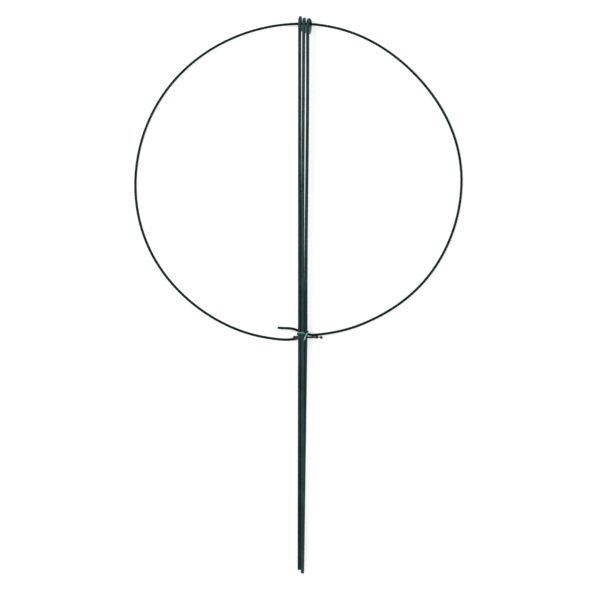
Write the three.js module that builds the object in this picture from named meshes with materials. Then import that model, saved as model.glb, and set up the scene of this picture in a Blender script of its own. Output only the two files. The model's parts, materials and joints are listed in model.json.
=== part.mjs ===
import * as THREE from 'three';

// A ring support for garden plants: a springy wire ring with three wire legs threaded on it,
// folded flat as it is packed. X runs to the right, +Y from the leg tips towards the eyes,
// and +Z up from the surface on which the support lies. Lengths are millimetres, angles degrees.

// Ring: plastic-coated steel wire with one plain end, and a hook on the other that catches it
const ring_diameter = 400;
const ring_wire = 3.2;
const ring_coat_wall = 0.4;
const ring_run_in_turn = 191;
const ring_plain_end_turn = 547.9;
const ring_fine_turn = 515;
const ring_step_turn = 5;
const ring_fine_step_turn = 2.35;
// The hand-bent ring is a little out of round: how many waves, how high, and where from the top
const ring_wobble_shares = [
  { waves: 2, share: 0.0181, from_top: 83.2 },
  { waves: 3, share: 0.0056, from_top: -16 },
  { waves: 4, share: 0.0031, from_top: 12.9 },
  { waves: 6, share: 0.0027, from_top: 12.7 },
  { waves: 7, share: 0.001, from_top: -20.8 },
];
// Towards its plain end the wire flattens, and then steps inwards past the hook
const flat_inset = 4.1;
const flat_start_turn = 516;
const flat_end_turn = 542;
const step_inset = 9.85;
const step_start_turn = 533.7;
const step_end_turn = 543.5;

// Hook on the ring's other end, which stands over the plain end's wire
const hook_radius = 3.8;
const hook_turn = 537.3;
const hook_foot_bend_radius = 3;
const hook_tail = 2.2;
const hook_run_in = 15;
const hook_run_in_heading = 21;
const hook_bend_steps = 4;
const hook_arch_steps = 8;
const hook_run_in_steps = 7;

// Legs: plastic-coated steel wire with an eye rolled on the top end
const leg_wire = 4.1;
const leg_coat_wall = 0.45;
const leg_length = 694;
const eye_bore = 12.2;
const eye_turn = 298;
const eye_steps = 20;
const first_eye_from_centre = 2.5;
const eye_pitch = 4.95;
const ring_below_eye_centre = 3.3;
const leg_bow_steps = 6;
// Each leg from the left, in shares of its wire: how low its eye hangs, how far right it lies at
// the tie and at its tip, how much shorter than the others it was cut, and whether it rides over
// its neighbour
const leg_shares = [
  { name: 'leg_left', eye_hang: 0.07, at_tie: 0.571, at_tip: 0.441, cut_short: 0.44, rides: 0 },
  { name: 'leg_middle', eye_hang: 0.56, at_tie: 1.522, at_tip: 1.41, cut_short: 0, rides: 1 },
  { name: 'leg_right', eye_hang: 0.68, at_tie: 2.502, at_tip: 1.478, cut_short: 0, rides: 0 },
];
// How each leg bows between the tie and its eye: two powers, where a higher first one keeps it
// longer beside its neighbour above the tie, and a higher second one keeps it out below its eye
const bow_powers = [
  { tie_power: 4, eye_power: 1 },
  { tie_power: 3, eye_power: 1.8 },
  { tie_power: 2.6, eye_power: 4 },
];
// How each eye's turn runs beside its stem, in shares of the wire: how far right, by which turn
// of the eye, and how far back again at its end
const drift_shares = [
  { right: 0.19, by_turn: 105, back: 0 },
  { right: 0.19, by_turn: 105, back: 0 },
  { right: 0.81, by_turn: 160, back: 0.3 },
];

// Twist tie: a flat plastic strip with a fine wire along its middle
const tie_width = 3.6;
const tie_wing = 0.45;
const tie_rib = 1;
const tie_core_wire = 0.5;
const tie_core_gap = 0.08;
const tie_left_tail = 7.1;
const left_tail_fall_share = 0.3;
const strip_spacing = 0.6;
const tie_corner_radius = 1.6;
const tie_corner_steps = 3;
const tie_shoulder_steps = 2;
const tie_shoulder_lift = 35;
const loop_below_hook_share = 0.2;
const right_side_above_hook_share = 0.52;
const right_side_width_share = 0.5;
// The crossing on the front, in shares of the strip's width from the front of the right leg:
// how far right, towards the tips and up, and how much of the width its folded wings keep.
// Lean and roll turn the flat side from facing up: lean towards the right, roll in degrees.
const over_strand_shares = [
  { right: 0.4, down: -0.24, up: 0.3, width: 0.42, lean: 0.5, roll: 0 },
  { right: 0.1, down: 0.32, up: 0.54, width: 0.38, lean: 0.1, roll: 0 },
  { right: -0.13, down: 0.82, up: 0.58, width: 0.38, lean: 0, roll: 0 },
  { right: -0.33, down: 1.37, up: 0.6, width: 0.46, lean: 0, roll: 0 },
  { right: -0.39, down: 1.77, up: 0.62, width: 0.5, lean: 0, roll: 0 },
  { right: -0.65, down: 1.97, up: 0.68, width: 0.38, lean: 0, roll: 0 },
  { right: -0.95, down: 1.68, up: 0.74, width: 0.38, lean: 0, roll: 0 },
];
const under_strand_shares = [
  { right: -0.44, down: 0.12, up: 0.42, width: 0.8, lean: 0.3, roll: 0 },
  { right: -0.17, down: 0.42, up: 0.14, width: 0.5, lean: 0.2, roll: 0 },
  { right: 0.06, down: 0.72, up: 0.06, width: 0.45, lean: 0, roll: 0 },
  { right: 0.32, down: 0.98, up: 0.02, width: 0.55, lean: 0.1, roll: 15 },
  { right: 0.62, down: 1.14, up: 0.02, width: 0.75, lean: 0, roll: 32 },
];
// The right tail stands half on edge, and has half a turn of twist near its end
const right_tail_shares = [
  { right: 1.1, down: 1.18, up: 0, width: 0.9, lean: 0, roll: 38 },
  { right: 2.1, down: 1.18, up: -0.2, width: 1, lean: 0, roll: 44 },
  { right: 3.25, down: 1.19, up: -0.48, width: 1, lean: 0, roll: 46 },
  { right: 3.72, down: 1.2, up: -0.61, width: 1, lean: 0, roll: 8 },
  { right: 4.12, down: 1.22, up: -0.72, width: 0.95, lean: 0, roll: -24 },
  { right: 4.5, down: 1.23, up: -0.83, width: 0.8, lean: 0, roll: -78 },
  { right: 4.84, down: 1.24, up: -0.93, width: 0.95, lean: 0, roll: -132 },
  { right: 5.2, down: 1.24, up: -1.03, width: 1, lean: 0, roll: -170 },
  { right: 5.95, down: 1.24, up: -1.27, width: 0.9, lean: 0, roll: -178 },
];

// Clearances between pieces that touch or run on each other, and inside the coated wire
const contact_gap = 0.3;
const core_gap = 0.05;
const cut_end_chamfer = 0.3;

// Counts of flats round the wires
const coat_sides = 12;
const core_sides = 8;
const tie_core_sides = 6;

const ring_radius = ring_diameter / 2;
const ring_wire_radius = ring_wire / 2;
const leg_wire_radius = leg_wire / 2;
const eye_radius = (eye_bore + leg_wire) / 2;
const eye_outer_radius = eye_bore / 2 + leg_wire;

const degree = Math.PI / 180;
const x_axis = new THREE.Vector3(1, 0, 0);
const z_axis = new THREE.Vector3(0, 0, 1);

const coat_green = new THREE.MeshStandardMaterial({ color: 0x1f3b33, roughness: 0.42, metalness: 0 });
const leg_green = new THREE.MeshStandardMaterial({ color: 0x2c4a44, roughness: 0.42, metalness: 0 });
const tie_green = new THREE.MeshStandardMaterial({ color: 0x2f7d68, roughness: 0.3, metalness: 0 });
const core_steel = new THREE.MeshStandardMaterial({ color: 0x8b9094, roughness: 0.4, metalness: 1 });

function ease(share) {
  const part = THREE.MathUtils.clamp(share, 0, 1);
  return part * part * (3 - 2 * part);
}

// Sections: a regular polygon for a wire, and the strip's flat wings with a rib in the middle
function polygon(radius, sides) {
  const points = [];
  for (let side = 0; side < sides; side += 1) {
    const angle = (360 * degree * side) / sides;
    points.push(new THREE.Vector2(Math.sin(angle) * radius, -Math.cos(angle) * radius));
  }
  return points;
}

function strip_section() {
  const half = [
    new THREE.Vector2(tie_rib / 4, -tie_rib / 2),
    new THREE.Vector2(tie_rib / 2, -tie_wing / 2),
    new THREE.Vector2(tie_width / 2, -tie_wing / 2),
    new THREE.Vector2(tie_width / 2, tie_wing / 2),
    new THREE.Vector2(tie_rib / 2, tie_wing / 2),
    new THREE.Vector2(tie_rib / 4, tie_rib / 2),
  ];
  const other_half = half.map((point) => point.clone().negate());
  return [...half, ...other_half];
}

// A point of a section carried to a station: a taper or folded wings never change the hole
function surface_point(station, point, in_hole) {
  const taper = in_hole ? 1 : station.taper;
  const width_share = in_hole ? 1 : station.width_share;
  const place = station.at.clone();
  place.addScaledVector(station.across, point.x * taper * width_share);
  place.addScaledVector(station.up, point.y * taper);
  return place;
}

// One closed body: an outline carried through every station, with an optional hole along it
function swept_body(stations, outline, hole) {
  const positions = [];
  const faces = [];
  const outlines = hole ? [outline, hole] : [outline];
  const starts = [];
  outlines.forEach((section, which) => {
    starts.push(positions.length / 3);
    stations.forEach((station) => {
      section.forEach((point) => {
        const place = surface_point(station, point, which === 1);
        positions.push(place.x, place.y, place.z);
      });
    });
  });
  const add_face = (first, second, third, flipped) => {
    faces.push(...(flipped ? [first, third, second] : [first, second, third]));
  };
  outlines.forEach((section, which) => {
    const count = section.length;
    for (let row = 0; row < stations.length - 1; row += 1) {
      for (let column = 0; column < count; column += 1) {
        const next = (column + 1) % count;
        const low = starts[which] + row * count;
        const high = low + count;
        add_face(low + column, low + next, high + next, which === 1);
        add_face(low + column, high + next, high + column, which === 1);
      }
    }
  });
  const cap = THREE.ShapeUtils.triangulateShape(outline, hole ? [hole] : []);
  const flat = outlines.flat();
  const [corner_a, corner_b, corner_c] = cap[0].map((index) => flat[index]);
  const side_one = corner_b.clone().sub(corner_a);
  const anticlockwise = side_one.cross(corner_c.clone().sub(corner_a)) > 0;
  const index_on_row = (index, row) => {
    const in_hole = index >= outline.length;
    const count = in_hole ? hole.length : outline.length;
    return in_hole ? starts[1] + row * count + index - outline.length : row * count + index;
  };
  cap.forEach((corners) => {
    const last = corners.map((index) => index_on_row(index, stations.length - 1));
    const first = corners.map((index) => index_on_row(index, 0));
    add_face(...last, !anticlockwise);
    add_face(...first, anticlockwise);
  });
  const geometry = new THREE.BufferGeometry();
  geometry.setAttribute('position', new THREE.Float32BufferAttribute(positions, 3));
  geometry.setIndex(faces);
  geometry.computeVertexNormals();
  return geometry;
}

// Stations along a wire's route, with the section carried along untwisted.
// At the middle station the section's up side faces +Z.
function wire_stations(route) {
  const tangents = route.map((point, index) => {
    const before = route[Math.max(index - 1, 0)];
    const after = route[Math.min(index + 1, route.length - 1)];
    const incoming = index > 0 ? point.clone().sub(before).normalize() : new THREE.Vector3();
    const outgoing = index < route.length - 1 ? after.clone().sub(point).normalize() : new THREE.Vector3();
    return incoming.add(outgoing).normalize();
  });
  const start = Math.abs(tangents[0].z) < Math.abs(tangents[0].x) ? z_axis : x_axis;
  const ups = [start.clone().projectOnPlane(tangents[0]).normalize()];
  for (let index = 1; index < route.length; index += 1) {
    const turn = new THREE.Quaternion().setFromUnitVectors(tangents[index - 1], tangents[index]);
    ups.push(ups[index - 1].clone().applyQuaternion(turn).projectOnPlane(tangents[index]).normalize());
  }
  const middle = Math.floor(route.length / 2);
  const wanted = z_axis.clone().projectOnPlane(tangents[middle]).normalize();
  const sideways = tangents[middle].clone().cross(ups[middle]);
  const roll = Math.atan2(wanted.dot(sideways), wanted.dot(ups[middle]));
  return route.map((point, index) => {
    const up = ups[index].clone().applyAxisAngle(tangents[index], roll);
    const across = up.clone().cross(tangents[index]).normalize();
    return { at: point, across, up, taper: 1, width_share: 1 };
  });
}

// A short taper at both cut ends, and the same stations for the coat and the core inside it
function with_cut_ends(stations, wire_radius) {
  const taper = 1 - cut_end_chamfer / wire_radius;
  const end_station = (end, inner) => {
    const inwards = inner.at.clone().sub(end.at).normalize();
    const shoulder = { ...end, at: end.at.clone().addScaledVector(inwards, cut_end_chamfer) };
    return [{ ...end, taper }, shoulder];
  };
  const first = end_station(stations[0], stations[1]);
  const last = end_station(stations.at(-1), stations.at(-2)).reverse();
  return [...first, ...stations.slice(1, -1), ...last];
}

function named_mesh(name, geometry, material) {
  const mesh = new THREE.Mesh(geometry, material.clone());
  mesh.name = name;
  return mesh;
}

// A coated wire is two pieces: the plastic coat, open at both cut ends, and the steel core
function coated_wire(name, route, wire, wall, coat_material) {
  const stations = with_cut_ends(wire_stations(route), wire / 2);
  const bore = wire / 2 - wall;
  const coat = swept_body(stations, polygon(wire / 2, coat_sides), polygon(bore, core_sides));
  const core_stations = stations.map((station) => ({ ...station, taper: 1 }));
  const core = swept_body(core_stations, polygon(bore - core_gap, core_sides));
  return [
    named_mesh(`${name}_coat`, coat, coat_material),
    named_mesh(`${name}_core`, core, core_steel),
  ];
}

// Heights of the ring's wire centre: on the ground at its sides, inside the eyes at the top,
// and under the hook's arch at the plain end
const ring_side_height = ring_wire_radius;
const ring_top_height = eye_outer_radius - ring_below_eye_centre;
const hook_arch_height = ring_wire_radius + hook_foot_bend_radius;

function ring_height(turn) {
  const lift = Math.cos(turn * degree) ** 2;
  if (turn < 270) {
    return ring_side_height;
  }
  const target = turn < 450 ? ring_top_height : hook_arch_height;
  return ring_side_height + (target - ring_side_height) * lift;
}

// Centre of the ring's wire; a turn counts clockwise from the top of the ring, as seen from above
function ring_place(turn) {
  let reach = 1;
  ring_wobble_shares.forEach((wobble) => {
    reach += wobble.share * Math.cos(wobble.waves * (turn - wobble.from_top) * degree);
  });
  const flat = flat_inset * ease((turn - flat_start_turn) / (flat_end_turn - flat_start_turn));
  const step = step_inset * ease((turn - step_start_turn) / (step_end_turn - step_start_turn));
  const radius = ring_radius * reach - flat - step;
  return new THREE.Vector3(
    radius * Math.sin(turn * degree),
    radius * Math.cos(turn * degree),
    ring_height(turn),
  );
}

function ring_heading(turn) {
  const ahead = ring_place(turn + 1).sub(ring_place(turn - 1));
  return ahead.setZ(0).normalize();
}

// The hook: up from the ground, over the plain end's wire in an arch, and down on its far side
const hook_centre = ring_place(hook_turn).setZ(hook_arch_height);
const hook_along = ring_heading(hook_turn);
const hook_inwards = new THREE.Vector3(-hook_along.y, hook_along.x, 0).negate();

function hook_route() {
  const points = [];
  const tail_top = hook_centre.clone().addScaledVector(hook_inwards, hook_radius);
  points.push(tail_top.clone().addScaledVector(z_axis, -hook_tail));
  for (let step = 0; step <= hook_arch_steps; step += 1) {
    const angle = (180 * degree * step) / hook_arch_steps;
    const point = hook_centre.clone();
    point.addScaledVector(hook_inwards, hook_radius * Math.cos(angle));
    point.addScaledVector(z_axis, hook_radius * Math.sin(angle));
    points.push(point);
  }
  const heading = x_axis.clone().applyAxisAngle(z_axis, hook_run_in_heading * degree);
  const foot = points.at(-1).clone().addScaledVector(heading, -hook_foot_bend_radius);
  for (let step = 1; step <= hook_bend_steps; step += 1) {
    const angle = (90 * degree * step) / hook_bend_steps;
    const point = foot.clone();
    point.addScaledVector(heading, hook_foot_bend_radius * Math.cos(angle));
    point.addScaledVector(z_axis, -hook_foot_bend_radius * Math.sin(angle));
    points.push(point);
  }
  const end = ring_place(ring_run_in_turn);
  const run_in = new THREE.CubicBezierCurve3(
    points.at(-1),
    points.at(-1).clone().addScaledVector(heading, -hook_run_in),
    end.clone().addScaledVector(ring_heading(ring_run_in_turn), -hook_run_in),
    end,
  );
  points.push(...run_in.getPoints(hook_run_in_steps).slice(1));
  return points;
}

function ring_route() {
  const points = hook_route();
  let turn = ring_run_in_turn + ring_step_turn;
  while (turn < ring_plain_end_turn) {
    points.push(ring_place(turn));
    turn += turn < ring_fine_turn ? ring_step_turn : ring_fine_step_turn;
  }
  points.push(ring_place(ring_plain_end_turn));
  return points;
}

// Legs, from the left. Each eye hangs a little below the ring's wire, the stems draw together
// at the tie, and the middle leg's tip rides over the right one's.
const tie_y = hook_centre.y;
const leg_rest_height = hook_arch_height + hook_radius + ring_wire_radius + contact_gap + leg_wire_radius;
const eye_front_height = eye_outer_radius + eye_radius;

const legs = leg_shares.map((shares, index) => {
  const eye_x = first_eye_from_centre + index * eye_pitch;
  const wire_turn = 360 + Math.asin(eye_x / ring_radius) / degree;
  const eye_y = ring_place(wire_turn).y - shares.eye_hang * leg_wire;
  const tip_y = eye_y + eye_outer_radius - leg_length + shares.cut_short * leg_wire;
  const fall = (eye_front_height - leg_rest_height) / (eye_y - tie_y);
  const lift = shares.rides * (leg_wire + 2 * contact_gap);
  return {
    name: shares.name,
    eye: new THREE.Vector3(eye_x, eye_y, eye_outer_radius),
    tip_y,
    slope: fall - lift / (eye_y - tip_y),
    x_at_tie: shares.at_tie * leg_wire,
    x_at_tip: shares.at_tip * leg_wire,
    bow: bow_powers[index],
    drift: drift_shares[index],
  };
});

// Centre of a leg's stem where it crosses the line y
function leg_place(leg, y) {
  const above_tie = THREE.MathUtils.clamp((y - tie_y) / (leg.eye.y - tie_y), 0, 1);
  const below_tie = (tie_y - y) / (tie_y - leg.tip_y);
  const bowed_out = 1 - (1 - above_tie ** leg.bow.tie_power) ** leg.bow.eye_power;
  const x = y > tie_y
    ? THREE.MathUtils.lerp(leg.x_at_tie, leg.eye.x, bowed_out)
    : THREE.MathUtils.lerp(leg.x_at_tie, leg.x_at_tip, below_tie);
  return new THREE.Vector3(x, y, eye_front_height - leg.slope * (leg.eye.y - y));
}

// The eye is one open turn, rolled from the stem over the top, down the back and up to the stem
function leg_route(leg) {
  const tilt = Math.atan(leg.slope);
  const front = new THREE.Vector3(0, -Math.sin(tilt), Math.cos(tilt));
  const over = new THREE.Vector3(0, Math.cos(tilt), Math.sin(tilt));
  const points = [];
  for (let step = eye_steps; step >= 0; step -= 1) {
    const turn = (eye_turn * step) / eye_steps;
    const point = leg.eye.clone();
    point.addScaledVector(front, eye_radius * Math.cos(turn * degree));
    point.addScaledVector(over, eye_radius * Math.sin(turn * degree));
    const { right, by_turn, back } = leg.drift;
    const return_share = back * ease((turn - by_turn) / (eye_turn - by_turn));
    point.addScaledVector(x_axis, leg_wire * (right * ease(turn / by_turn) - return_share));
    points.push(point);
  }
  for (let step = 1; step <= leg_bow_steps; step += 1) {
    points.push(leg_place(leg, THREE.MathUtils.lerp(leg.eye.y, tie_y, step / leg_bow_steps)));
  }
  points.push(leg_place(leg, leg.tip_y));
  return points;
}

// Twist tie: round the bundled legs and the plain end's wire, crossed once on the front.
// A key gives the strip's centre, the way that its flat side faces and its share of width.
const [leg_left, leg_middle, leg_right] = legs;
const strip_gap = contact_gap + tie_rib / 2;
const wrap_radius = leg_wire_radius + strip_gap;
const loop_y = tie_y - tie_width * loop_below_hook_share;
const right_side_y = tie_y + tie_width * right_side_above_hook_share;
const tail_y = loop_y - tie_width - strip_spacing;
const crossing = leg_place(leg_right, loop_y).addScaledVector(z_axis, wrap_radius);

function key(at, face, width_share = 1) {
  return { at, face: face.clone().normalize(), width_share };
}

// The strip bent round a wire or a corner: angles from +X towards +Z, in the plane across the legs
function wrap_key(middle_of_bend, radius, angle, width_share = 1) {
  const face = new THREE.Vector3(Math.cos(angle * degree), 0, Math.sin(angle * degree));
  return key(middle_of_bend.clone().addScaledVector(face, radius), face, width_share);
}

function wrap_keys(middle_of_bend, radius, from_angle, to_angle, steps, width_share = 1) {
  const keys = [];
  for (let step = 0; step <= steps; step += 1) {
    const angle = THREE.MathUtils.lerp(from_angle, to_angle, step / steps);
    keys.push(wrap_key(middle_of_bend, radius, angle, width_share));
  }
  return keys;
}

function strand_keys(strand) {
  return strand.map((row) => {
    const offset = new THREE.Vector3(row.right, -row.down, row.up).multiplyScalar(tie_width);
    const face = new THREE.Vector3(row.lean, Math.sin(row.roll * degree), Math.cos(row.roll * degree));
    return key(crossing.clone().add(offset), face, row.width);
  });
}

function tie_keys() {
  const left = leg_place(leg_left, loop_y);
  const middle = leg_place(leg_middle, loop_y);
  const right = leg_place(leg_right, right_side_y);
  const shoulder = Math.atan2(middle.z - left.z, middle.x - left.x) / degree + 90;
  const left_x = left.x - wrap_radius;
  const right_x = right.x + wrap_radius;
  const corner_z = strip_gap + tie_corner_radius;
  const left_corner = new THREE.Vector3(left_x + tie_corner_radius, loop_y, corner_z);
  const right_corner = new THREE.Vector3(right_x - tie_corner_radius, right_side_y, corner_z);
  const under = [
    ...wrap_keys(right_corner, tie_corner_radius, 0, -90, tie_corner_steps, right_side_width_share),
    ...wrap_keys(left_corner, tie_corner_radius, -90, -180, tie_corner_steps),
  ];
  under.forEach((each) => {
    const share = (right_x - each.at.x) / (right_x - left_x);
    each.at.y = THREE.MathUtils.lerp(right_side_y, loop_y, share);
  });
  const to_tail = new THREE.Vector3(0, tail_y - loop_y, 0);
  const left_tail = [
    wrap_key(middle.clone().add(to_tail), wrap_radius, shoulder),
    wrap_key(left.clone().add(to_tail), wrap_radius, shoulder),
  ];
  const left_tip = left_tail.at(-1).at.clone();
  left_tip.add(new THREE.Vector3(-tie_left_tail, 0, -tie_left_tail * left_tail_fall_share));
  return [
    key(left_tip, z_axis),
    ...left_tail.reverse(),
    ...strand_keys(over_strand_shares).reverse(),
    ...wrap_keys(right, wrap_radius, tie_shoulder_lift, 0, 1, right_side_width_share),
    ...under,
    ...wrap_keys(left, wrap_radius, 180, shoulder, tie_shoulder_steps),
    ...wrap_keys(middle, wrap_radius, shoulder, 90, tie_shoulder_steps),
    ...strand_keys(under_strand_shares),
    ...strand_keys(right_tail_shares),
  ];
}

function tie_stations() {
  const keys = tie_keys();
  const curve = new THREE.CatmullRomCurve3(keys.map((each) => each.at), false, 'centripetal');
  const count = (keys.length - 1) * 2;
  const stations = [];
  for (let step = 0; step <= count; step += 1) {
    const before = keys[Math.floor(step / 2)];
    const after = keys[Math.ceil(step / 2)];
    const tangent = curve.getTangent(step / count);
    const up = before.face.clone().add(after.face).projectOnPlane(tangent).normalize();
    const across = up.clone().cross(tangent).normalize();
    const width_share = (before.width_share + after.width_share) / 2;
    stations.push({ at: curve.getPoint(step / count), across, up, taper: 1, width_share });
  }
  return stations;
}

// Least gap between places on the strip's surface that are well apart along its length
function least_gap(stations, outline) {
  let travelled = 0;
  const rows = stations.map((station, index) => {
    travelled += index > 0 ? station.at.distanceTo(stations[index - 1].at) : 0;
    const points = outline.map((point) => surface_point(station, point, false));
    return { travelled, points };
  });
  let least = Infinity;
  rows.forEach((row, index) => {
    rows.slice(index + 1).forEach((other) => {
      if (other.travelled - row.travelled > tie_width * 2) {
        row.points.forEach((point) => {
          other.points.forEach((far_point) => {
            least = Math.min(least, point.distanceTo(far_point));
          });
        });
      }
    });
  });
  return least;
}

const part = new THREE.Group();
part.add(...coated_wire('ring', ring_route(), ring_wire, ring_coat_wall, coat_green));
legs.forEach((leg) => {
  part.add(...coated_wire(leg.name, leg_route(leg), leg_wire, leg_coat_wall, leg_green));
});
const strip_stations = tie_stations();
const wire_core_stations = strip_stations.map((station) => ({ ...station, width_share: 1 }));
const strip_bore = polygon(tie_core_wire / 2 + tie_core_gap, tie_core_sides);
const strip_wire = polygon(tie_core_wire / 2, tie_core_sides);
part.add(named_mesh('tie_strip', swept_body(strip_stations, strip_section(), strip_bore), tie_green));
part.add(named_mesh('tie_wire', swept_body(wire_core_stations, strip_wire), core_steel));
console.log(`tie_strip least gap to itself ${least_gap(strip_stations, strip_section()).toFixed(2)} mm`);

// The origin is on the ground, midway under the folded support
const bounds = new THREE.Box3().setFromObject(part);
const centre = bounds.getCenter(new THREE.Vector3());
part.position.set(-centre.x, -centre.y, 0);

export default part;
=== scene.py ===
import json
import math

import bpy
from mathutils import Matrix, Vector, noise


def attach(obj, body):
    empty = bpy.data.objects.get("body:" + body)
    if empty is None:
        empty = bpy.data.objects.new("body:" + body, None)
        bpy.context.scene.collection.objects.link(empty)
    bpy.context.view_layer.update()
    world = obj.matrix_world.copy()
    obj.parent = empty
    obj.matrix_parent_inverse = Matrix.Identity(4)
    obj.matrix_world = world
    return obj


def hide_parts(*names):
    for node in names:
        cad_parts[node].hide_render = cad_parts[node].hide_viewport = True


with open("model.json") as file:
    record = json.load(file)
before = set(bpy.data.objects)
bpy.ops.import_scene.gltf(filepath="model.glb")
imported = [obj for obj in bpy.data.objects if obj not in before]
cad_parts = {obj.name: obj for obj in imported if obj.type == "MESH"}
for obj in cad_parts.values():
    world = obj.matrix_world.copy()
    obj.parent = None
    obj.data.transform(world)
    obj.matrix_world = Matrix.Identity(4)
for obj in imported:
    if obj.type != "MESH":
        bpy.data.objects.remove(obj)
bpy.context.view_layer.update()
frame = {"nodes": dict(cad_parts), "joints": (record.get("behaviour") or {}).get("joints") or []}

# Lengths in this script are millimetres, as in the part's source, until a mesh is written
MM = 0.001
DEG = math.pi / 180
X = Vector((1, 0, 0))
Z = Vector((0, 0, 1))

# The same sizes as in the part's source
RING_RADIUS = 200
RING_WIRE = 3.2
RING_WALL = 0.4
RUN_IN_TURN = 191
PLAIN_END_TURN = 547.9
# How the ring strays from a circle: waves round it, share of its radius, turn of a crest
WOBBLES = (
    (2, 0.0181, 83.2),
    (3, 0.0056, -16),
    (4, 0.0031, 12.9),
    (6, 0.0027, 12.7),
    (7, 0.001, -20.8),
)
FLAT_INSET, FLAT_FROM, FLAT_TO = 4.1, 516, 542
STEP_INSET, STEP_FROM, STEP_TO = 9.85, 533.7, 543.5
HOOK_RADIUS = 3.8
HOOK_TURN = 537.3
HOOK_FOOT_RADIUS = 3
HOOK_TAIL = 2.2
RUN_IN = 15
RUN_IN_HEADING = 21
LEG_WIRE = 4.1
LEG_WALL = 0.45
LEG_LENGTH = 694
EYE_BORE = 12.2
EYE_TURN = 298
FIRST_EYE = 2.5
EYE_PITCH = 4.95
RING_BELOW_EYE = 3.3
# Each leg's name, how low its eye hangs, how far right it lies at the tie and at the tip, how much
# it is cut short, all in shares of its wire, and 1 where it rides over its neighbours
LEG_SHARES = (
    ("left", 0.07, 0.571, 0.441, 0.44, 0),
    ("middle", 0.56, 1.522, 1.41, 0, 1),
    ("right", 0.68, 2.502, 1.478, 0, 0),
)
# How each leg bows between the tie and its eye: a power for the tie's end, one for the eye's
BOW_POWERS = ((4, 1), (3, 1.8), (2.6, 4))
# How each eye's turn runs beside its stem: right, by which turn, and back at its end
DRIFT_SHARES = ((0.19, 105, 0), (0.19, 105, 0), (0.81, 160, 0.3))
TIE_WIDTH = 3.6
TIE_RIB = 1
TIE_CORNER = 1.6
TIE_LEFT_TAIL = 7.1
LEFT_TAIL_FALL = 0.3
STRIP_SPACING = 0.6
GAP = 0.3
LOOP_BELOW = 0.2
RIGHT_SIDE_ABOVE = 0.52
RIGHT_SIDE_WIDTH = 0.5
SHOULDER_LIFT = 35
# The strands' points, from where they cross and in widths of the strip: right, down and up of it.
# Then how wide the strip is there, its lean and roll, and how crumpled, which also sets a painted highlight:
# pale at 1, brown below 0
OVER_STRAND = (
    (0.4, -0.24, 0.3, 0.42, 0.5, 0, 0.8),
    (0.1, 0.32, 0.54, 0.38, 0.1, 0, 0.85),
    (-0.13, 0.82, 0.58, 0.38, 0, 0, 0.85),
    (-0.33, 1.37, 0.6, 0.46, 0, 0, 1),
    (-0.39, 1.77, 0.62, 0.5, 0, 0, 1),
    (-0.65, 1.97, 0.68, 0.38, 0, 0, 1),
    (-0.95, 1.68, 0.74, 0.38, 0, 0, 0.35),
)
UNDER_STRAND = (
    (-0.44, 0.12, 0.42, 0.8, 0.3, 0, 0.9),
    (-0.17, 0.42, 0.14, 0.5, 0.2, 0, 0.75),
    (0.06, 0.72, 0.06, 0.45, 0, 0, 0.5),
    (0.32, 0.98, 0.02, 0.55, 0.1, 15, 0.45),
    (0.62, 1.14, 0.02, 0.75, 0, 32, 0.35),
)
RIGHT_TAIL = (
    (1.1, 1.18, 0, 0.9, 0, 38, 0),
    (2.1, 1.18, -0.2, 1, 0, 44, -0.6),
    (3.25, 1.19, -0.48, 1, 0, 46, -0.4),
    (3.72, 1.2, -0.61, 1, 0, 8, 0.15),
    (4.12, 1.22, -0.72, 0.95, 0, -24, 0.15),
    (4.5, 1.23, -0.83, 0.8, 0, -78, 0.9),
    (4.84, 1.24, -0.93, 0.95, 0, -132, 0.3),
    (5.2, 1.24, -1.03, 1, 0, -170, 0.15),
    (5.95, 1.24, -1.27, 0.9, 0, -178, 0.15),
)
# How crumpled the strip is on its left tail, and where it goes round the legs, which also sets its painted
# highlight
TAIL_CRUMPLE_AND_HIGHLIGHT = 0.1
RIGHT_CRUMPLE_AND_HIGHLIGHT, UNDER_CRUMPLE_AND_HIGHLIGHT, LEFT_CRUMPLE_AND_HIGHLIGHT, TOP_CRUMPLE_AND_HIGHLIGHT = 0.45, 0.4, 0.8, 1

# Counts of steps along the curves, and of flats round the wires
HOOK_TAIL_STEPS = 3
HOOK_ARCH_STEPS = 20
HOOK_FOOT_STEPS = 10
RUN_IN_STEPS = 24
EYE_STEPS = 60
STEM_STEPS = 60
STRIP_STEPS = 8
CORNER_STEPS = 3
SHOULDER_STEPS = 2
RIGHT_STEPS = 1
COAT_SIDES = 28
FILAMENT_SIDES = 12
# Degrees from one point of the ring to the next, and the turn where its points draw closer
RING_STEP, FINE_STEP, FINE_TURN = 2, 1, 515

# The coat's detail: drawn in at a cut, rippled inside a bend, flattened outside it, slightly wavy
CUT_STATIONS = (0.12, 0.35, 0.7)
CUT_INSET, CUT_RUN = 0.16, 0.7
RIPPLE, RIPPLE_PITCH = 0.06, 1.9
STRETCH = 0.035
WAVE, WAVE_PITCH = 0.015, 9
LIP = 0.28
LIP_OUTSIDE_SHARE = 0.3
# How pale a bend is painted in its ripples, and outside it, where the pale is partly stretch and partly a
# painted highlight
RIPPLE_MARK, STRETCH_AND_LIGHT_MARK = 0.3, 0.42
# A wire is white for this run from its rolled end, partly strain and partly a painted highlight, and the
# white fades out over the next
WHITE_RUN, WHITE_FADE = 10, 14

# The steel's detail: clearance in the coat, a rounded rim and stained ends. Its sheared face is
# dished: a share of its radius, and how deep the face lies there
STEEL_GAP = 0.03
RIM_INSET, RIM_RUN = 0.12, 0.35
STAIN_RUN = 2
DISHED_FACE = ((0.62, 0.03), (0.22, 0.07))

# The strip's detail: wings that thin outwards, a curl where it is folded, pucker, slanted snips
ACROSS_SHARES = (0, 0.15, 0.24, 0.3, 0.42, 0.62, 0.85, 0.97)
WING, WING_THINNING = 0.17, 0.05
OVER_CURL, UNDER_CURL = 0.55, -0.35
EVEN_PUCKER, CRUMPLE_PUCKER = 0.1, 0.16
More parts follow.
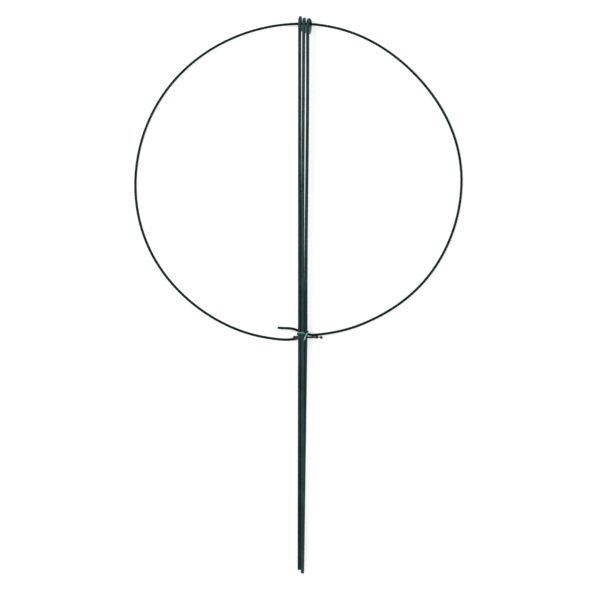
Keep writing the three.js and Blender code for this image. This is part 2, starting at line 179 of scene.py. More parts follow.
# Noise for the pucker: how fine across the strip, how fine along it, and its place in the noise
COARSE_PUCKER = (0.55, 0.9, 3.1)
FINE_PUCKER = (1.4, 2.3, 7.7)
FINE_PUCKER_SHARE = 0.5
EDGE_WAVE, EDGE_WAVE_PITCH, EDGE_APART = 0.03, 1.3, 4
SNIP_RUN, SNIP_BACK = 2.4, 0.6
LEFT_SNIP_SLANT, RIGHT_SNIP_SLANT = 0.32, 0.3
# Under the crossing, the strip's edge that faces the eyes carries a painted highlight, and the rest is
# painted duller
DULL_SHARE, HIGHLIGHT_FROM_SHARE, HIGHLIGHT_RUN_SHARE = 0.45, 0.4, 0.4
FILAMENT_RADIUS = 0.25
FILAMENT_STAIN_RUN = 1

# Colours in steps of 255, and what else tells the two coatings apart
RING_PVC = {
    "deep": (3, 24, 20),
    "pale": (12, 42, 37),
    "scuff": (34, 66, 58),
    "white": (48, 84, 75),
    "white_share": 0.3,
    "rough": (0.43, 0.64),
    "specular": 0.07,
}
LEG_PVC = {
    "deep": (9, 36, 36),
    "pale": (26, 58, 57),
    "scuff": (58, 92, 89),
    # White where the mark is high: partly strain whitening, partly a painted highlight
    "white": (130, 182, 168),
    "white_share": 0.88,
    "rough": (0.38, 0.59),
    "specular": 0.14,
}
# How much paler each leg's coat is painted, in steps of 255: painted light on copies of one coat, the middle
# one the palest
LEG_PAINTED_LIGHT = (-2, 9, -1)
STREAK_SHARE, SCUFF_SHARE, RUST_SHARE = 0.35, 0.4, 0.6
# How strong each of a coat's bumps is, and how deep in millimetres
COAT_BUMP = (0.2, 0.01)
DULL_STEEL, BRIGHT_STEEL, RUST = (118, 120, 121), (172, 174, 175), (96, 66, 46)
TIE_BROWN = (72, 58, 59)
TIE_GREYS = ((24, 30, 31), (42, 52, 52))
TIE_TEALS = ((5, 40, 34), (14, 66, 55))
TIE_HIGHLIGHTS = ((100, 172, 152), (158, 222, 204))
TIE_SPECULAR = 0.25

# The studio, in metres
FLOOR_HALF, FLOOR_DROP = 4, 0.0002
FLOOR_PALE, FLOOR_ROUGH = 0.9, 0.9
# How strongly the floor glows to the camera and in mirrors, and the sky on the part and to the eye
GLOW_SEEN, GLOW_MIRRORED = 0.41, 0.1
SKY_LIGHT, SKY_SEEN = 0.62, 1
# name, place, size, watts
LAMPS = (
    ("key", (-1.6, 0.9, 2.2), 1.2, 28),
    ("fill", (1.7, -0.6, 2.4), 1.6, 14),
)
# The camera's place, the width of floor that it shows and how far it sees
CAMERA_PLACE = Vector((0.0019, -0.00657, 12))
CAMERA_FIELD, CAMERA_REACH = 0.75, 100
# The width of its sensor, in millimetres as its lens is
CAMERA_SENSOR = 36


def ease(share):
    share = min(max(share, 0), 1)
    return share * share * (3 - 2 * share)


def mix(a, b, share):
    return a + (b - a) * share


def swung(a, b, angle):
    """The direction a, turned by the angle towards b, which is square to it."""
    return a * math.cos(angle) + b * math.sin(angle)


def angles_round(sides):
    return [2 * math.pi * side / sides for side in range(sides)]


# Routes of the wires, round the middle of the ring. Turns are degrees, clockwise from the top:
# the ring passes its left side at 270, the eyes at 360, its right side at 450 and the hook near 540
eye_radius = (EYE_BORE + LEG_WIRE) / 2
eye_outer = EYE_BORE / 2 + LEG_WIRE
side_height = RING_WIRE / 2
top_height = eye_outer - RING_BELOW_EYE
arch_height = RING_WIRE / 2 + HOOK_FOOT_RADIUS


def ring_height(turn):
    """The wire lies on the surface at the ring's sides, and rises to the eyes and to the hook."""
    if turn < 270:
        return side_height
    target = top_height if turn < 450 else arch_height
    return side_height + (target - side_height) * math.cos(turn * DEG) ** 2


def ring_place(turn):
    reach = 1 + sum(share * math.cos(waves * (turn - crest) * DEG) for waves, share, crest in WOBBLES)
    flat = FLAT_INSET * ease((turn - FLAT_FROM) / (FLAT_TO - FLAT_FROM))
    step = STEP_INSET * ease((turn - STEP_FROM) / (STEP_TO - STEP_FROM))
    radius = RING_RADIUS * reach - flat - step
    return Vector((radius * math.sin(turn * DEG), radius * math.cos(turn * DEG), ring_height(turn)))


def ring_heading(turn):
    ahead = ring_place(turn + 1) - ring_place(turn - 1)
    ahead.z = 0
    return ahead.normalized()


hook_centre = ring_place(HOOK_TURN)
hook_centre.z = arch_height
hook_along = ring_heading(HOOK_TURN)
hook_inwards = Vector((hook_along.y, -hook_along.x, 0))


def bezier(a, b, c, d, t):
    """The point at t on the curve from a to d, which leaves towards b and arrives from c."""
    return a * (1 - t) ** 3 + b * 3 * t * (1 - t) ** 2 + c * 3 * t * t * (1 - t) + d * t**3


def hook_route():
    """The hook's cut tail, its arch over the ring's other end, its foot, and the run to the ring."""
    points = []
    for step in range(HOOK_TAIL_STEPS):
        down = HOOK_TAIL * (1 - step / HOOK_TAIL_STEPS)
        points.append(hook_centre + hook_inwards * HOOK_RADIUS - Z * down)
    for step in range(HOOK_ARCH_STEPS + 1):
        points.append(hook_centre + swung(hook_inwards, Z, math.pi * step / HOOK_ARCH_STEPS) * HOOK_RADIUS)
    heading = Vector((math.cos(RUN_IN_HEADING * DEG), math.sin(RUN_IN_HEADING * DEG), 0))
    foot = points[-1] - heading * HOOK_FOOT_RADIUS
    for step in range(1, HOOK_FOOT_STEPS + 1):
        points.append(foot + swung(heading, -Z, math.pi / 2 * step / HOOK_FOOT_STEPS) * HOOK_FOOT_RADIUS)
    start, end = points[-1], ring_place(RUN_IN_TURN)
    leave = start - heading * RUN_IN
    arrive = end - ring_heading(RUN_IN_TURN) * RUN_IN
    for step in range(1, RUN_IN_STEPS + 1):
        points.append(bezier(start, leave, arrive, end, step / RUN_IN_STEPS))
    return points


def ring_route():
    points = hook_route()
    turn = RUN_IN_TURN + RING_STEP
    while turn < PLAIN_END_TURN - FINE_STEP / 2:
        points.append(ring_place(turn))
        turn += RING_STEP if turn < FINE_TURN else FINE_STEP
    points.append(ring_place(PLAIN_END_TURN))
    return points


tie_y = hook_centre.y
rest_height = arch_height + HOOK_RADIUS + RING_WIRE / 2 + GAP + LEG_WIRE / 2
front_height = eye_outer + eye_radius


class Leg:
    """A leg's wire: where its eye, its tip and its bow lie."""

    def __init__(self, index, shares):
        self.name, hang, at_tie, at_tip, cut_short, rides = shares
        self.tie_power, self.eye_power = BOW_POWERS[index]
        self.drift = DRIFT_SHARES[index]
        eye_x = FIRST_EYE + index * EYE_PITCH
        wire_turn = 360 + math.asin(eye_x / RING_RADIUS) / DEG
        eye_y = ring_place(wire_turn).y - hang * LEG_WIRE
        self.eye = Vector((eye_x, eye_y, eye_outer))
        self.tip_y = eye_y + eye_outer - LEG_LENGTH + cut_short * LEG_WIRE
        fall = (front_height - rest_height) / (eye_y - tie_y)
        self.slope = fall - rides * (LEG_WIRE + 2 * GAP) / (eye_y - self.tip_y)
        self.x_tie, self.x_tip = at_tie * LEG_WIRE, at_tip * LEG_WIRE

    def place(self, y):
        """The middle of the stem's wire at this y."""
        if y > tie_y:
            above_tie = min((y - tie_y) / (self.eye.y - tie_y), 1)
            bowed_out = 1 - (1 - above_tie**self.tie_power) ** self.eye_power
            x = mix(self.x_tie, self.eye.x, bowed_out)
        else:
            x = mix(self.x_tie, self.x_tip, (tie_y - y) / (tie_y - self.tip_y))
        return Vector((x, y, front_height - self.slope * (self.eye.y - y)))

    def route(self):
        """From the eye's end, round the ring's wire and down the stem to the tip."""
        tilt = math.atan(self.slope)
        front = Vector((0, -math.sin(tilt), math.cos(tilt)))
        over = Vector((0, math.cos(tilt), math.sin(tilt)))
        right, by_turn, back = self.drift
        points = []
        for step in range(EYE_STEPS, -1, -1):
            turn = EYE_TURN * step / EYE_STEPS
            point = self.eye + swung(front, over, turn * DEG) * eye_radius
            point.x += LEG_WIRE * right * ease(turn / by_turn)
            point.x -= LEG_WIRE * back * ease((turn - by_turn) / (EYE_TURN - by_turn))
            points.append(point)
        start = points[-1].y
        for step in range(1, STEM_STEPS + 1):
            points.append(self.place(mix(start, self.tip_y, step / STEM_STEPS)))
        return points


legs = [Leg(index, shares) for index, shares in enumerate(LEG_SHARES)]
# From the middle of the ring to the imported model's place, by the hinge in the left leg's eye
hinge = next(joint for joint in frame["joints"] if joint["name"] == "leg_left_fold")
shift = Vector(hinge["pos_m"]) / MM - legs[0].eye


# Meshes
def write_mesh(name, rows, grain, mark, ring_of_rows):
    """A skin over rows of points, each row closed on itself, with two attributes for the materials.

    "grain" is a point's place if the piece were pulled straight along z, and "mark" its local tone.
    The last row joins the first in a ring of rows, and otherwise both are capped.
    """
    count = len(rows[0])
    points = [(point + shift) * MM for row in rows for point in row]
    faces = []
    last = len(rows) if ring_of_rows else len(rows) - 1
    for i in range(last):
        low = i * count
        high = ((i + 1) % len(rows)) * count
        for side in range(count):
            after = (side + 1) % count
            faces.append((low + side, low + after, high + after, high + side))
    if not ring_of_rows:
        faces.append(tuple(reversed(range(count))))
        faces.append(tuple(last * count + side for side in range(count)))
    mesh = bpy.data.meshes.new(name)
    mesh.from_pydata(points, [], faces)
    places = mesh.attributes.new("grain", "FLOAT_VECTOR", "POINT")
    places.data.foreach_set("vector", [value for row in grain for place in row for value in place])
    tone = mesh.attributes.new("mark", "FLOAT", "POINT")
    tone.data.foreach_set("value", [value for row in mark for value in row])
    mesh.polygons.foreach_set("use_smooth", [True] * len(mesh.polygons))
    mesh.validate()
    piece = bpy.data.objects.new(name, mesh)
    bpy.context.scene.collection.objects.link(piece)
    return piece


def stations_of(route):
    """Each point of the route with the wire's own axes there and the length run so far."""
    tangents = []
    for i, point in enumerate(route):
        into = (point - route[i - 1]).normalized() if i > 0 else Vector()
        out = (route[i + 1] - point).normalized() if i < len(route) - 1 else Vector()
        tangents.append((into + out).normalized())
    start = Z if abs(tangents[0].z) < abs(tangents[0].x) else X
    ups = [(start - tangents[0] * start.dot(tangents[0])).normalized()]
    for i in range(1, len(route)):
        turned = tangents[i - 1].rotation_difference(tangents[i]) @ ups[-1]
        ups.append((turned - tangents[i] * turned.dot(tangents[i])).normalized())
    run = [0]
    for a, b in zip(route, route[1:]):
        run.append(run[-1] + (b - a).length)
    return [
        {"at": at, "up": up, "side": up.cross(way).normalized(), "way": way, "run": so_far}
        for at, up, way, so_far in zip(route, ups, tangents, run)
    ]


def with_cut_stations(stations):
    """The stations, with some more close to both cut ends."""
    first, last = stations[0], stations[-1]
    onwards = (stations[1]["at"] - first["at"]).normalized()
    backwards = (stations[-2]["at"] - last["at"]).normalized()
    heads, tails = [], []
    for distance in CUT_STATIONS:
        heads.append({**first, "at": first["at"] + onwards * distance, "run": distance})
        tails.append({**last, "at": last["at"] + backwards * distance, "run": last["run"] - distance})
    return [first, *heads, *stations[1:-1], *tails[::-1], last]


def bend_at(stations, index):
    """Towards the inside of the wire's bend here, and longer where it bends tighter."""
    # The cut ends are straight
    if not 1 < index < len(stations) - 2:
        return Vector()
    a, b, c = (station["at"] for station in stations[index - 1 : index + 2])
    turn = (c - b).normalized() - (b - a).normalized()
    return turn / ((c - a).length / 2)


def around(station, angle):
    """The direction out of the wire's middle, by the angle round it."""
    return station["side"] * math.sin(angle) - station["up"] * math.cos(angle)


def circle(station, radius, sides, ahead=0):
    """A row of points round the wire, at the station or a little ahead of it."""
    middle = station["at"] + station["way"] * ahead
    return [middle + around(station, angle) * radius for angle in angles_round(sides)]


def grain_circle(station, radius, sides):
    """The places of such a row's points on the straightened wire."""
    return [
        (math.sin(angle) * radius, math.cos(angle) * radius, station["run"]) for angle in angles_round(sides)
    ]


def end_distance(station, stations):
    return min(station["run"], stations[-1]["run"] - station["run"])


def coat_outside(stations, wire):
    """The rows of the coat's outside, with all its detail."""
    radius = wire / 2
    rows, grains, marks = [], [], []
    for i, station in enumerate(stations):
        inset = CUT_INSET * (1 - ease(end_distance(station, stations) / CUT_RUN))
        bend = bend_at(stations, i)
        ripple = 0.5 + 0.5 * math.cos(2 * math.pi * station["run"] / RIPPLE_PITCH)
        # Paler near the rolled end: strain whitening and a painted highlight
        strain_and_highlight = 1 - ease((station["run"] - WHITE_RUN) / WHITE_FADE)
        row, mark = [], []
        for angle in angles_round(COAT_SIDES):
            out = around(station, angle)
            inner_side = min(max(out.dot(bend), 0) * wire, 1)
            outer_side = min(max(-out.dot(bend), 0) * wire, 1)
            wave = noise.noise(Vector((math.sin(angle), math.cos(angle), station["run"] / WAVE_PITCH)))
            size = radius - inset - RIPPLE * inner_side * ripple - STRETCH * outer_side
            row.append(station["at"] + out * (size - WAVE + WAVE * wave))
            mark.append(max(RIPPLE_MARK * inner_side * ripple, STRETCH_AND_LIGHT_MARK * outer_side, strain_and_highlight))
        rows.append(row)
        grains.append(grain_circle(station, radius, COAT_SIDES))
        marks.append(mark)
    # The rims draw in a little, more so towards the bore
    lip = LIP * LIP_OUTSIDE_SHARE
    rows[0] = [point + stations[0]["way"] * lip for point in rows[0]]
    rows[-1] = [point - stations[-1]["way"] * lip for point in rows[-1]]
    return rows, grains, marks


def coat_bore(stations, bore):
    """The rows of the bore, from the far end back to the first."""
    rows, grains, marks = [], [], []
    for station in stations:
        inwards = 0
        if station is stations[0]:
            inwards = LIP
        if station is stations[-1]:
            inwards = -LIP
        rows.append(circle(station, bore, COAT_SIDES, inwards))
        grains.append(grain_circle(station, bore, COAT_SIDES))
        marks.append([0] * COAT_SIDES)
    return rows[::-1], grains[::-1], marks


def dished_face(station, inwards, radius):
    """Rows that close a sheared end, from its rim to its middle."""
    rows = [circle(station, radius * share, COAT_SIDES, inwards * dish) for share, dish in DISHED_FACE]
    grains = [grain_circle(station, share, COAT_SIDES) for share, dish in DISHED_FACE]
    return rows, grains


def steel_rows(stations, bore):
    """The rows of the steel, from the middle of one sheared face to the middle of the other."""
    radius = bore - STEEL_GAP
    rows, grains, marks = [], [], []
    for station in stations:
        from_end = end_distance(station, stations)
        size = radius - RIM_INSET * (1 - ease(from_end / RIM_RUN))
        rows.append(circle(station, size, COAT_SIDES))
        grains.append(grain_circle(station, size, COAT_SIDES))
        marks.append([1 - ease(from_end / STAIN_RUN)] * COAT_SIDES)
    head, head_grains = dished_face(stations[0], 1, radius)
    foot, foot_grains = dished_face(stations[-1], -1, radius)
    face_marks = [[1] * COAT_SIDES for _ in DISHED_FACE]
    rows = head[::-1] + rows + foot
    grains = head_grains[::-1] + grains + foot_grains
    return rows, grains, face_marks + marks + face_marks


# Materials
def linear(colour, shade=0):
    """A colour in steps of 255, with the shade added, in linear light by the sRGB curve."""
    values = [(step + shade) / 255 for step in colour]
    return tuple(v / 12.92 if v <= 0.04045 else ((v + 0.055) / 1.055) ** 2.4 for v in values) + (1,)


class Nodes:
    """The nodes of a new material or world, with short ways to add to them."""

    # A mix node's colour sockets go by number, as its sockets for plain numbers have the same names
    MIX_SHARE, MIX_FROM, MIX_TO, MIX_RESULT = 0, 6, 7, 2

    def __init__(self, owner, shader):
        owner.use_nodes = True
        self.tree = owner.node_tree
        self.shader = self.tree.nodes[shader]

    def add(self, kind, **settings):
        node = self.tree.nodes.new(kind)
        for key, value in settings.items():
            setattr(node, key, value)
        return node

    def feed(self, socket, value):
        """Another node's output is linked to the socket, and a constant is set on it."""
        if isinstance(value, bpy.types.NodeSocket):
            self.tree.links.new(value, socket)
        else:
            socket.default_value = value

    def set_shader(self, name, value):
        self.feed(self.shader.inputs[name], value)

    def mark(self):
        return self.add("ShaderNodeAttribute", attribute_name="mark").outputs["Fac"]

    def noise(self, scale, detail, roughness=0.55):
        """Noise on the straightened piece: its scale is across, across and along it."""
        grain = self.add("ShaderNodeAttribute", attribute_name="grain")
        mapping = self.add("ShaderNodeMapping")
        self.feed(mapping.inputs["Vector"], grain.outputs["Vector"])
        self.feed(mapping.inputs["Scale"], scale)
        node = self.add("ShaderNodeTexNoise")
        self.feed(node.inputs["Vector"], mapping.outputs["Vector"])
        self.feed(node.inputs["Scale"], 1)
        self.feed(node.inputs["Detail"], detail)
        self.feed(node.inputs["Roughness"], roughness)
        return node.outputs["Fac"]

    def band(self, value, low, high, out_low=0, out_high=1):
        """A smooth step from out_low to out_high, while the value goes from low to high."""
        node = self.add("ShaderNodeMapRange", interpolation_type="SMOOTHSTEP")
        self.feed(node.inputs["Value"], value)
        self.feed(node.inputs["From Min"], low)
        self.feed(node.inputs["From Max"], high)
        self.feed(node.inputs["To Min"], out_low)
        self.feed(node.inputs["To Max"], out_high)
        return node.outputs["Result"]

    def math(self, operation, a, b):
        node = self.add("ShaderNodeMath", operation=operation)
        self.feed(node.inputs[0], a)
        self.feed(node.inputs[1], b)
        return node.outputs[0]

    def times(self, a, b):
        return self.math("MULTIPLY", a, b)

    def blend(self, share, a, b):
        """The colour a, turned into b by the share."""
        node = self.add("ShaderNodeMix", data_type="RGBA")
        self.feed(node.inputs[self.MIX_SHARE], share)
        self.feed(node.inputs[self.MIX_FROM], a)
        self.feed(node.inputs[self.MIX_TO], b)
        return node.outputs[self.MIX_RESULT]

    def bump(self, layers):
        """Each layer is a height, its strength and how deep it goes in millimetres."""
        previous = None
        for height, strength, depth in layers:
            node = self.add("ShaderNodeBump")
            self.feed(node.inputs["Height"], height)
            self.feed(node.inputs["Strength"], strength)
            self.feed(node.inputs["Distance"], depth * MM)
            if previous:
                self.feed(node.inputs["Normal"], previous)
            previous = node.outputs["Normal"]
        self.feed(self.shader.inputs["Normal"], previous)


def new_material(name):
    material = bpy.data.materials.new(name)
    return material, Nodes(material, "Principled BSDF")


def coating(name, pvc, shade=0):
    """Soft plastic: mottled, streaked along the wire, scuffed in specks, white where it is strained and
    where a highlight is painted.
    """
    material, nodes = new_material(name)
    deep, pale, scuff = (linear(pvc[tone], shade) for tone in ("deep", "pale", "scuff"))
    mottle = nodes.noise(scale=(0.22, 0.22, 0.05), detail=4)
    streak = nodes.noise(scale=(2.6, 2.6, 0.03), detail=3)
    pits = nodes.noise(scale=(4.5, 4.5, 4.5), detail=2)
    dust = nodes.noise(scale=(0.5, 0.5, 0.35), detail=6, roughness=0.7)
    colour = nodes.blend(nodes.band(mottle, low=0.35, high=0.68), deep, pale)
    streaked = nodes.band(streak, low=0.5, high=0.75)
    colour = nodes.blend(nodes.times(streaked, STREAK_SHARE), colour, pale)
    scuffed = nodes.times(nodes.band(dust, low=0.6, high=0.72), nodes.band(pits, low=0.4, high=0.65))
    colour = nodes.blend(nodes.times(scuffed, SCUFF_SHARE), colour, scuff)
    patchy = nodes.band(dust, low=0.3, high=0.6, out_low=0.65)
    # Painted highlight, partly strain whitening: the coat turns white where the mark is high
    strained_and_lit = nodes.times(nodes.band(nodes.mark(), low=0.1, high=1), patchy)
    colour = nodes.blend(nodes.times(strained_and_lit, pvc["white_share"]), colour, linear(pvc["white"]))
    smooth, rough = pvc["rough"]
    nodes.set_shader("Base Color", colour)
    nodes.set_shader("Roughness", nodes.band(dust, low=0.3, high=0.75, out_low=smooth, out_high=rough))
    nodes.set_shader("Specular IOR Level", pvc["specular"])
    nodes.bump([(height, *COAT_BUMP) for height in (streak, pits, dust)])
    return material


def steel(name):
    """Steel with the lines of its drawing, rusted in specks where the mark says."""
    material, nodes = new_material(name)
    drawn = nodes.noise(scale=(9, 9, 0.12), detail=3)
    stain = nodes.noise(scale=(1.3, 1.3, 0.9), detail=5, roughness=0.65)
    colour = nodes.blend(nodes.band(drawn, low=0.3, high=0.7), linear(DULL_STEEL), linear(BRIGHT_STEEL))
    rusted = nodes.times(nodes.band(stain, low=0.5, high=0.66), nodes.mark())
    colour = nodes.blend(nodes.times(rusted, RUST_SHARE), colour, linear(RUST))
    nodes.set_shader("Base Color", colour)
    nodes.set_shader("Metallic", 1)
    nodes.set_shader("Roughness", nodes.band(stain, low=0.35, high=0.7, out_low=0.28, out_high=0.55))
    nodes.bump([(drawn, 0.4, 0.02), (stain, 0.25, 0.02)])
    return material


def ribbon(name):
    """The tie's strip: brown where its mark is lowest, then grey, green, and a pale painted highlight where
    the mark is highest.
    """
    material, nodes = new_material(name)
    crease = nodes.noise(scale=(0.9, 0.9, 1.7), detail=4, roughness=0.6)
    fine = nodes.noise(scale=(3.5, 3.5, 0.5), detail=3)
    grey = nodes.blend(nodes.band(fine, low=0.35, high=0.7), *map(linear, TIE_GREYS))
    teal = nodes.blend(nodes.band(crease, low=0.35, high=0.65), *map(linear, TIE_TEALS))
    # Pale colours of the painted highlight
    pale = nodes.blend(nodes.band(crease, low=0.38, high=0.62), *map(linear, TIE_HIGHLIGHTS))
    colour = nodes.blend(nodes.band(nodes.mark(), low=-0.5, high=-0.1), linear(TIE_BROWN), grey)
    colour = nodes.blend(nodes.band(nodes.mark(), low=0.15, high=0.4), colour, teal)
    colour = nodes.blend(nodes.band(nodes.mark(), low=0.55, high=0.85), colour, pale)
    nodes.set_shader("Base Color", colour)
    nodes.set_shader("Roughness", nodes.band(crease, low=0.3, high=0.7, out_low=0.3, out_high=0.5))
    nodes.set_shader("Specular IOR Level", TIE_SPECULAR)
    nodes.bump([(crease, 0.6, 0.1), (fine, 0.3, 0.03)])
    return material


ring_pvc = coating("ring_pvc", RING_PVC)
steel_wire = steel("steel_wire")


# Pieces
def stand_for(piece, body, node, material):
    """The piece rides on the body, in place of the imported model's node."""
    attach(piece, body)
    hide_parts(node)
    piece.data.materials.append(material)


def coated_wire(body, route, wire, wall, pvc):
    """The coat, closed through its bore, and the steel in it."""
    stations = with_cut_stations(stations_of(route))
    bore = wire / 2 - wall
    rows, grains, marks = coat_outside(stations, wire)
    bore_rows, bore_grains, bore_marks = coat_bore(stations, bore)
    rows += bore_rows
    grains += bore_grains
    marks += bore_marks
    coat = write_mesh(body + "_sleeve", rows, grains, marks, ring_of_rows=True)
    stand_for(coat, body, body + "_coat", pvc)
    rows, grains, marks = steel_rows(stations, bore)
    core = write_mesh(body + "_steel", rows, grains, marks, ring_of_rows=False)
    stand_for(core, body, body + "_core", steel_wire)


# The tie's route: keys of place, facing, width and crumple, which also sets the painted highlight
wrap_radius = LEG_WIRE / 2 + GAP + TIE_RIB / 2
loop_y = tie_y - TIE_WIDTH * LOOP_BELOW
right_side_y = tie_y + TIE_WIDTH * RIGHT_SIDE_ABOVE
tail_y = loop_y - TIE_WIDTH - STRIP_SPACING
crossing = legs[2].place(loop_y) + Z * wrap_radius


def wrap_key(middle, radius, angle, crumple_and_highlight, width=1):
    face = Vector((math.cos(angle * DEG), 0, math.sin(angle * DEG)))
    return [middle + face * radius, face, width, crumple_and_highlight]


def wrap_keys(middle, radius, start, end, steps, crumple_and_highlight, width=1):
    return [wrap_key(middle, radius, mix(start, end, i / steps), crumple_and_highlight, width) for i in range(steps + 1)]


def strand_keys(table):
    keys = []
    for right, down, up, width, lean, roll, crumple_and_highlight in table:
        face = Vector((lean, math.sin(roll * DEG), math.cos(roll * DEG))).normalized()
        keys.append([crossing + Vector((right, -down, up)) * TIE_WIDTH, face, width, crumple_and_highlight])
    return keys


def tie_keys():
    left, middle = legs[0].place(loop_y), legs[1].place(loop_y)
    right = legs[2].place(right_side_y)
    shoulder = math.atan2(middle.z - left.z, middle.x - left.x) / DEG + 90
    left_x, right_x = left.x - wrap_radius, right.x + wrap_radius
    corner_z = GAP + TIE_RIB / 2 + TIE_CORNER
    left_corner = Vector((left_x + TIE_CORNER, loop_y, corner_z))
    right_corner = Vector((right_x - TIE_CORNER, right_side_y, corner_z))
    under = wrap_keys(right_corner, TIE_CORNER, 0, -90, CORNER_STEPS, UNDER_CRUMPLE_AND_HIGHLIGHT, RIGHT_SIDE_WIDTH)
    under += wrap_keys(left_corner, TIE_CORNER, -90, -180, CORNER_STEPS, UNDER_CRUMPLE_AND_HIGHLIGHT)
    for each in under:
        each[0].y = mix(right_side_y, loop_y, (right_x - each[0].x) / (right_x - left_x))
    to_tail = Vector((0, tail_y - loop_y, 0))
    left_tail = [wrap_key(each + to_tail, wrap_radius, shoulder, TAIL_CRUMPLE_AND_HIGHLIGHT) for each in (middle, left)]
    tip = left_tail[-1][0] + Vector((-TIE_LEFT_TAIL, 0, -TIE_LEFT_TAIL * LEFT_TAIL_FALL))
    return (
        [[tip, Z.copy(), 1, 0]]
        + left_tail[::-1]
        + strand_keys(OVER_STRAND)[::-1]
        + wrap_keys(right, wrap_radius, SHOULDER_LIFT, 0, RIGHT_STEPS, RIGHT_CRUMPLE_AND_HIGHLIGHT, RIGHT_SIDE_WIDTH)
        + under
        + wrap_keys(left, wrap_radius, 180, shoulder, SHOULDER_STEPS, LEFT_CRUMPLE_AND_HIGHLIGHT)
        + wrap_keys(middle, wrap_radius, shoulder, 90, SHOULDER_STEPS, TOP_CRUMPLE_AND_HIGHLIGHT)
        + strand_keys(UNDER_STRAND)
        + strand_keys(RIGHT_TAIL)
    )


def curve_point(points, index, t):
    """Centripetal Catmull-Rom between two keys, and its direction."""
    p1, p2 = points[index], points[index + 1]
    p0 = points[index - 1] if index > 0 else p1 * 2 - p2
    p3 = points[index + 2] if index + 2 < len(points) else p2 * 2 - p1
    d0, d1, d2 = math.sqrt((p1 - p0).length), math.sqrt((p2 - p1).length), math.sqrt((p3 - p2).length)
    m1 = ((p1 - p0) / d0 - (p2 - p0) / (d0 + d1) + (p2 - p1) / d1) * d1
    m2 = ((p2 - p1) / d1 - (p3 - p1) / (d1 + d2) + (p3 - p2) / d2) * d1
    c2 = (p2 - p1) * 3 - m1 * 2 - m2
    c3 = (p1 - p2) * 2 + m1 + m2
    return p1 + m1 * t + c2 * t * t + c3 * t**3, m1 + c2 * 2 * t + c3 * 3 * t * t


def tie_stations():
    """As a wire's stations, with the strip's width and crumple, which also sets the painted highlight. Its
    first half crosses over.
    """
    keys = tie_keys()
    points = [key[0] for key in keys]
    spans = len(keys) - 1
    stations = []
    run = 0
    for step in range(spans * STRIP_STEPS + 1):
        i = min(step // STRIP_STEPS, spans - 1)
        t = step / STRIP_STEPS - i
        at, way = curve_point(points, i, t)
        way.normalize()
        near, far = keys[i], keys[i + 1]
        face, width, crumple_and_highlight = (mix(a, b, ease(t)) for a, b in zip(near[1:], far[1:]))
        up = (face - way * face.dot(way)).normalized()
        if stations:
            run += (at - stations[-1]["at"]).length
        stations.append({
            "at": at,
            "up": up,
            "side": up.cross(way).normalized(),
            "way": way,
            "run": run,
            "width": width,
            "crumple_and_highlight": crumple_and_highlight,
            "over": i < len(keys) / 2,
        })
    return stations


def strip_profile():
    """The strip's section at full width: flat wings with a rounded rib along the middle."""
    half, rib = TIE_WIDTH / 2, TIE_RIB / 2
    top = []
    for share in [-share for share in ACROSS_SHARES[:0:-1]] + list(ACROSS_SHARES):
        x = share * half
        wing = WING - WING_THINNING * abs(share) ** 3
        bump = math.sqrt(rib * rib - x * x) if abs(x) < rib else 0
        top.append((x, max(wing, bump)))
    return [(x, -y) for x, y in top] + [(half, 0)] + top[::-1] + [(-half, 0)]


def pucker(x, run, pattern):
    across, along, seed = pattern
    return noise.noise(Vector((x * across, run * along, seed)))


def strip_point(station, x, y, length):
    """The place of a point of the strip's section, puckered, curled and snipped."""
    run = station["run"]
    off_middle = 2 * abs(x) / TIE_WIDTH
    curl = (1 - station["width"]) * (OVER_CURL if station["over"] else UNDER_CURL)
    puckered = pucker(x, run, COARSE_PUCKER) + FINE_PUCKER_SHARE * pucker(x, run, FINE_PUCKER)
    lift = off_middle**2 * (EVEN_PUCKER + CRUMPLE_PUCKER * station["crumple_and_highlight"]) * puckered
    edge_place = Vector((run * EDGE_WAVE_PITCH, math.copysign(EDGE_APART, x), 0))
    edge = 1 + EDGE_WAVE * noise.noise(edge_place)
    height = y + lift + curl * abs(x) * off_middle
    point = station["at"] + station["side"] * x * station["width"] * edge + station["up"] * height
    if run < SNIP_RUN:
        point += station["way"] * (LEFT_SNIP_SLANT * x + SNIP_BACK) * (1 - run / SNIP_RUN)
    if length - run < SNIP_RUN:
        point += station["way"] * (RIGHT_SNIP_SLANT * x - SNIP_BACK) * (1 - (length - run) / SNIP_RUN)
    return point


def strip_mark(station, x):
    """The strip's tone here, which its ribbon material reads: high values are a painted highlight."""
    if station["over"]:
        return station["crumple_and_highlight"]
    # Under the crossing, the painted highlight runs along the edge that faces the eyes
    pale = ease((2 * x / TIE_WIDTH - HIGHLIGHT_FROM_SHARE) / HIGHLIGHT_RUN_SHARE)
    return station["crumple_and_highlight"] * mix(DULL_SHARE, 1, pale)


def twist_tie():
    """The strip, and the wire along its middle."""
    stations = tie_stations()
    length = stations[-1]["run"]
    profile = strip_profile()
    rows = [[strip_point(station, x, y, length) for x, y in profile] for station in stations]
    grains = [[(x, y, station["run"]) for x, y in profile] for station in stations]
    marks = [[strip_mark(station, x) for x, y in profile] for station in stations]
    strip = write_mesh("tie_ribbon", rows, grains, marks, ring_of_rows=False)
    stand_for(strip, "tie", "tie_strip", ribbon("tie_plastic"))
    rows = [circle(station, FILAMENT_RADIUS, FILAMENT_SIDES) for station in stations]
    grains = [grain_circle(station, FILAMENT_RADIUS, FILAMENT_SIDES) for station in stations]
    stained = [1 if end_distance(station, stations) < FILAMENT_STAIN_RUN else 0 for station in stations]
    marks = [[stain] * FILAMENT_SIDES for stain in stained]
    filament = write_mesh("tie_filament", rows, grains, marks, ring_of_rows=False)
    stand_for(filament, "tie", "tie_wire", steel_wire)


coated_wire("ring", ring_route(), RING_WIRE, RING_WALL, ring_pvc)
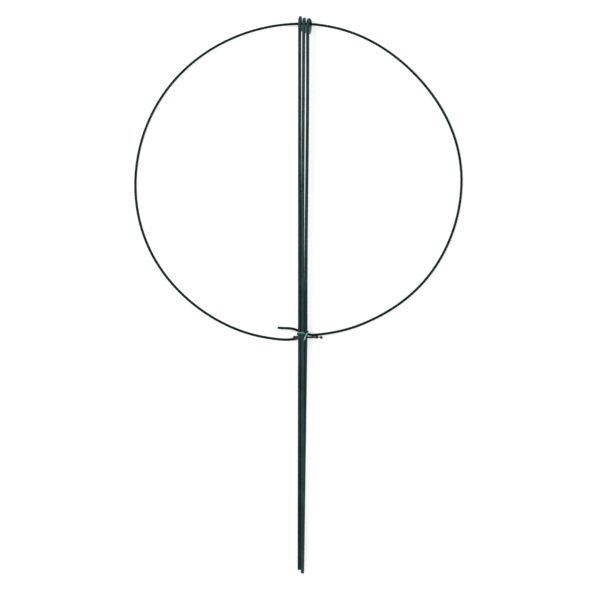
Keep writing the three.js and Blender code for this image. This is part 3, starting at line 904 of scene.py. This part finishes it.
# The legs share one plastic, and each copy of it carries its own painted light
for leg, shade in zip(legs, LEG_PAINTED_LIGHT):
    leg_pvc = coating(f"leg_{leg.name}_pvc", LEG_PVC, shade)
    coated_wire(f"leg_{leg.name}", leg.route(), LEG_WIRE, LEG_WALL, leg_pvc)
twist_tie()
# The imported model's own nodes are all replaced, and have materials too
for node in frame["nodes"].values():
    node.data.materials.clear()
    node.data.materials.append(steel_wire if node.name.endswith(("core", "wire")) else ring_pvc)


# Floor, sky, lamps and camera
def floor():
    mesh = bpy.data.meshes.new("floor")
    corners = [(-1, -1), (1, -1), (1, 1), (-1, 1)]
    mesh.from_pydata([(x * FLOOR_HALF, y * FLOOR_HALF, 0) for x, y in corners], [], [(0, 1, 2, 3)])
    plane = bpy.data.objects.new("floor", mesh)
    plane.location.z = -FLOOR_DROP
    bpy.context.scene.collection.objects.link(plane)
    material, nodes = new_material("floor")
    nodes.set_shader("Base Color", (FLOOR_PALE, FLOOR_PALE, FLOOR_PALE, 1))
    nodes.set_shader("Roughness", FLOOR_ROUGH)
    ray = nodes.add("ShaderNodeLightPath").outputs
    mirrored = nodes.math("MAXIMUM", ray["Is Glossy Ray"], ray["Is Transmission Ray"])
    seen = nodes.times(ray["Is Camera Ray"], GLOW_SEEN)
    glow = nodes.add("ShaderNodeEmission")
    nodes.feed(glow.inputs["Strength"], nodes.math("ADD", seen, nodes.times(mirrored, GLOW_MIRRORED)))
    total = nodes.add("ShaderNodeAddShader")
    nodes.feed(total.inputs[0], nodes.shader.outputs[0])
    nodes.feed(total.inputs[1], glow.outputs[0])
    nodes.feed(nodes.tree.nodes["Material Output"].inputs["Surface"], total.outputs[0])
    mesh.materials.append(material)


def sky():
    """A white sky, weaker as the part's light than as it is seen."""
    world = bpy.data.worlds.new("studio")
    nodes = Nodes(world, "Background")
    bpy.context.scene.world = world
    nodes.set_shader("Color", (1, 1, 1, 1))
    ray = nodes.add("ShaderNodeLightPath").outputs
    seen = nodes.math("MAXIMUM", ray["Is Camera Ray"], ray["Is Glossy Ray"])
    seen = nodes.math("MAXIMUM", seen, ray["Is Transmission Ray"])
    strength = nodes.band(seen, low=0, high=1, out_low=SKY_LIGHT, out_high=SKY_SEEN)
    nodes.set_shader("Strength", strength)


def lamp(name, place, size, watts):
    """A square lamp that faces the middle of the part."""
    data = bpy.data.lights.new(name, "AREA")
    data.size = size
    data.energy = watts
    light = bpy.data.objects.new(name, data)
    light.location = place
    light.rotation_euler = (-Vector(place)).to_track_quat("-Z", "Y").to_euler()
    bpy.context.scene.collection.objects.link(light)


def camera():
    """A camera that looks straight down at the part from far above."""
    data = bpy.data.cameras.new("camera")
    data.sensor_width = CAMERA_SENSOR
    data.lens = CAMERA_SENSOR * CAMERA_PLACE.z / CAMERA_FIELD
    data.clip_end = CAMERA_REACH
    eye = bpy.data.objects.new("camera", data)
    eye.location = CAMERA_PLACE
    bpy.context.scene.collection.objects.link(eye)
    bpy.context.scene.camera = eye


floor()
sky()
for each in LAMPS:
    lamp(*each)
camera()
bpy.context.scene.view_settings.view_transform = "Standard"
